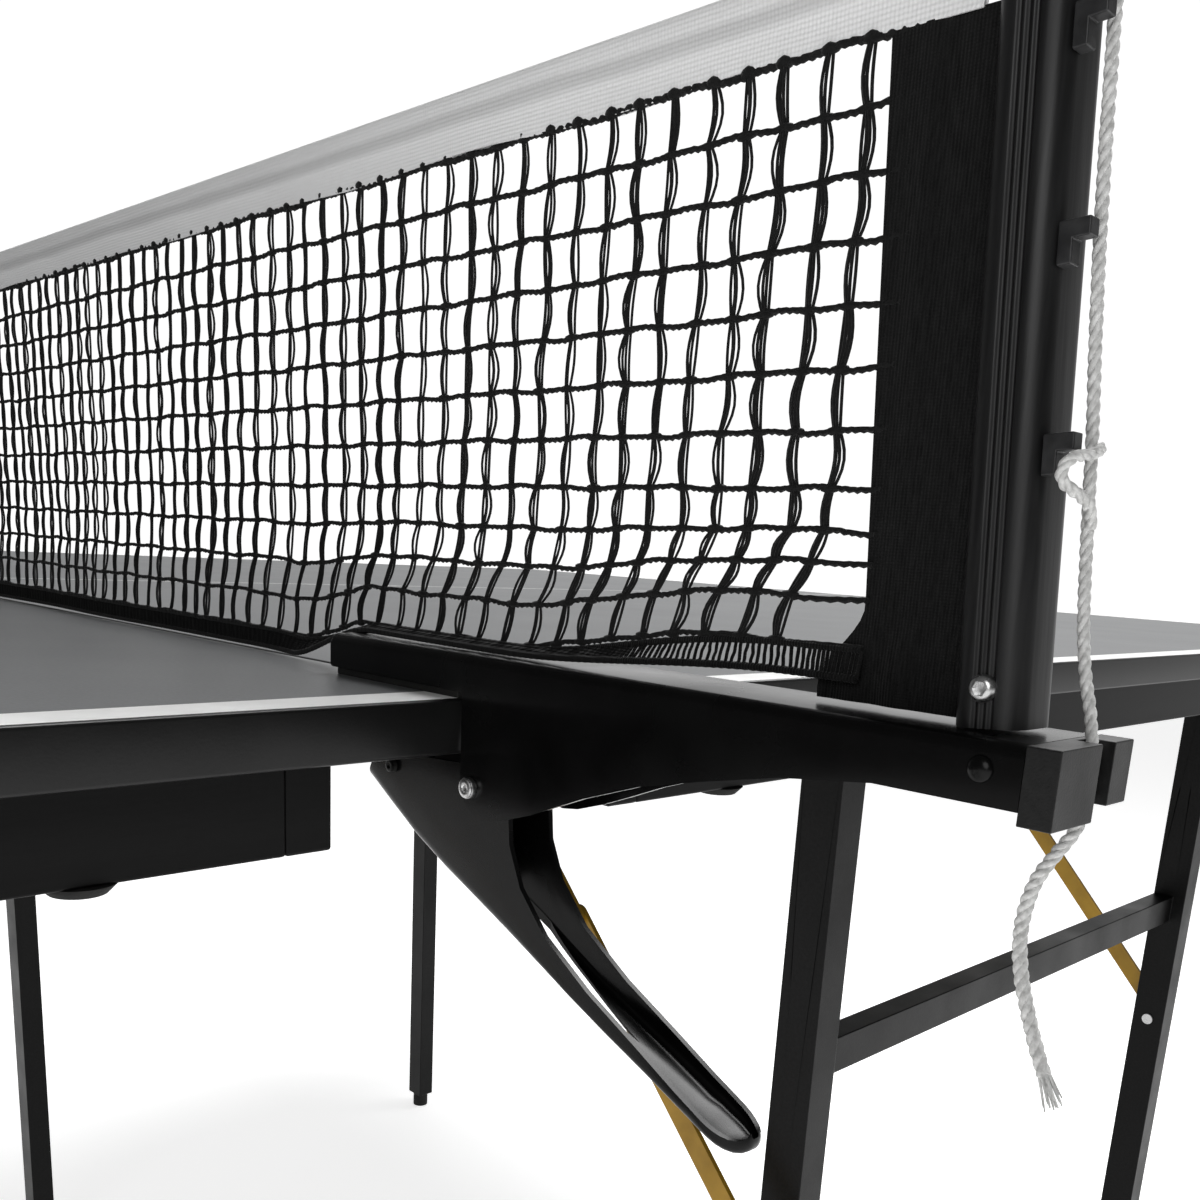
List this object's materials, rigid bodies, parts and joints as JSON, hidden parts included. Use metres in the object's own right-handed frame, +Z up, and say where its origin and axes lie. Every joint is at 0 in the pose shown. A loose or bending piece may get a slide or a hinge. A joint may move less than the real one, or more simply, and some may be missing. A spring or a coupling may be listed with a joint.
{
  "type": "table tennis table",
  "caption": "Mid-size table tennis table: joined half boards on folding braced leg frames, with a sprung clip-on post and net set.",
  "frame": {"origin": "on the floor, under the centre of the table", "axes": "+X along the table's length, +Y across its width along the net, +Z up"},
  "size_m": [2.06, 1.4838, 0.9189],
  "materials": {
    "board": "satin paint on fibreboard, with white edge lines",
    "apron": "black laminate",
    "black_steel": "semi-gloss powder coat",
    "yellow_steel": "yellow passivated zinc",
    "zinc": "bright zinc",
    "clamp_paint": "satin black enamel",
    "rubber_black": "matte",
    "plastic_black": "matte",
    "post_aluminium": "black anodised",
    "net_black": "knotted nylon mesh",
    "band_black": "woven black band",
    "tape_white": "thin white tape",
    "cord_white": "twisted white cord"
  },
  "bodies": {
    "table": {"top_right": "board", "top_left": "board", "apron_right_near": "apron", "apron_right_far": "apron", "apron_right_seam": "apron", "apron_right_end": "apron", "apron_left_near": "apron", "apron_left_far": "apron", "apron_left_seam": "apron", "apron_left_end": "apron", "joining_plates": "zinc", "leg_brackets_right": "black_steel", "leg_brackets_left": "black_steel", "brace_anchors_right": "black_steel", "brace_anchors_left": "black_steel", "hinge_pins": "zinc", "underside_screws": "zinc", "buffers": "rubber_black", "clamp_body_near": "clamp_paint", "clamp_body_far": "clamp_paint", "clamp_pins": "zinc", "clamp_springs": "zinc", "upper_pads": "rubber_black", "post_near": "post_aluminium", "post_far": "post_aluminium", "post_caps": "plastic_black", "post_screws": "zinc", "cord_hooks": "plastic_black", "cord_cleats": "plastic_black", "net_mesh": "net_black", "net_hem": "band_black", "net_tape": "tape_white", "net_sleeves": "band_black", "net_cord_near": "cord_white", "net_cord_far": "cord_white"},
    "leg_frame_right_near": {"leg_frame_right_near": "black_steel", "feet_right_near": "rubber_black", "leg_rivets_right_near": "zinc"},
    "lower_braces_right_near": {"lower_links_right_near": "yellow_steel"},
    "upper_braces_right_near": {"upper_links_right_near": "yellow_steel"},
    "leg_frame_right_far": {"leg_frame_right_far": "black_steel", "feet_right_far": "rubber_black", "leg_rivets_right_far": "zinc"},
    "lower_braces_right_far": {"lower_links_right_far": "yellow_steel"},
    "upper_braces_right_far": {"upper_links_right_far": "yellow_steel"},
    "leg_frame_left_near": {"leg_frame_left_near": "black_steel", "feet_left_near": "rubber_black", "leg_rivets_left_near": "zinc"},
    "lower_braces_left_near": {"lower_links_left_near": "yellow_steel"},
    "upper_braces_left_near": {"upper_links_left_near": "yellow_steel"},
    "leg_frame_left_far": {"leg_frame_left_far": "black_steel", "feet_left_far": "rubber_black", "leg_rivets_left_far": "zinc"},
    "lower_braces_left_far": {"lower_links_left_far": "yellow_steel"},
    "upper_braces_left_far": {"upper_links_left_far": "yellow_steel"},
    "clamp_lever_near": {"clamp_lever_near": "clamp_paint", "lower_shoe_near": "rubber_black"},
    "clamp_lever_far": {"clamp_lever_far": "clamp_paint", "lower_shoe_far": "rubber_black"}
  },
  "joints": [
    {"name": "fold_right_near", "type": "hinge", "parent": "table", "child": "leg_frame_right_near", "pos_m": [0.582, -0.474, 0.728], "axis": [1, 0, 0], "range_deg": [0, 90]},
    {"name": "lower_brace_right_near", "type": "hinge", "parent": "leg_frame_right_near", "child": "lower_braces_right_near", "pos_m": [0.582, -0.474, 0.425], "axis": [1, 0, 0], "range_deg": [0, 45]},
    {"name": "upper_brace_right_near", "type": "hinge", "parent": "table", "child": "upper_braces_right_near", "pos_m": [0.582, -0.184, 0.728], "axis": [1, 0, 0], "range_deg": [-48, 0]},
    {"name": "fold_right_far", "type": "hinge", "parent": "table", "child": "leg_frame_right_far", "pos_m": [0.494, 0.474, 0.728], "axis": [-1, 0, 0], "range_deg": [0, 90]},
    {"name": "lower_brace_right_far", "type": "hinge", "parent": "leg_frame_right_far", "child": "lower_braces_right_far", "pos_m": [0.494, 0.474, 0.425], "axis": [-1, 0, 0], "range_deg": [0, 45]},
    {"name": "upper_brace_right_far", "type": "hinge", "parent": "table", "child": "upper_braces_right_far", "pos_m": [0.494, 0.184, 0.728], "axis": [-1, 0, 0], "range_deg": [-48, 0]},
    {"name": "fold_left_near", "type": "hinge", "parent": "table", "child": "leg_frame_left_near", "pos_m": [-0.494, -0.474, 0.728], "axis": [1, 0, 0], "range_deg": [0, 90]},
    {"name": "lower_brace_left_near", "type": "hinge", "parent": "leg_frame_left_near", "child": "lower_braces_left_near", "pos_m": [-0.494, -0.474, 0.425], "axis": [1, 0, 0], "range_deg": [0, 45]},
    {"name": "upper_brace_left_near", "type": "hinge", "parent": "table", "child": "upper_braces_left_near", "pos_m": [-0.494, -0.184, 0.728], "axis": [1, 0, 0], "range_deg": [-48, 0]},
    {"name": "fold_left_far", "type": "hinge", "parent": "table", "child": "leg_frame_left_far", "pos_m": [-0.582, 0.474, 0.728], "axis": [-1, 0, 0], "range_deg": [0, 90]},
    {"name": "lower_brace_left_far", "type": "hinge", "parent": "leg_frame_left_far", "child": "lower_braces_left_far", "pos_m": [-0.582, 0.474, 0.425], "axis": [-1, 0, 0], "range_deg": [0, 45]},
    {"name": "upper_brace_left_far", "type": "hinge", "parent": "table", "child": "upper_braces_left_far", "pos_m": [-0.582, 0.184, 0.728], "axis": [-1, 0, 0], "range_deg": [-48, 0]},
    {"name": "squeeze_near", "type": "hinge", "parent": "table", "child": "clamp_lever_near", "pos_m": [0, -0.581, 0.737], "axis": [-1, 0, 0], "range_deg": [0, 25], "stiffness_Nm_per_rad": 2, "springref_deg": -45.84},
    {"name": "squeeze_far", "type": "hinge", "parent": "table", "child": "clamp_lever_far", "pos_m": [0, 0.581, 0.737], "axis": [1, 0, 0], "range_deg": [0, 25], "stiffness_Nm_per_rad": 2, "springref_deg": -45.84}
  ],
  "couplings": [
    {"joint": "lower_brace_right_near", "follows": "fold_right_near", "ratio": 0.48605},
    {"joint": "upper_brace_right_near", "follows": "fold_right_near", "ratio": -0.51395},
    {"joint": "lower_brace_right_far", "follows": "fold_right_far", "ratio": 0.48605},
    {"joint": "upper_brace_right_far", "follows": "fold_right_far", "ratio": -0.51395},
    {"joint": "lower_brace_left_near", "follows": "fold_left_near", "ratio": 0.48605},
    {"joint": "upper_brace_left_near", "follows": "fold_left_near", "ratio": -0.51395},
    {"joint": "lower_brace_left_far", "follows": "fold_left_far", "ratio": 0.48605},
    {"joint": "upper_brace_left_far", "follows": "fold_left_far", "ratio": -0.51395}
  ]
}
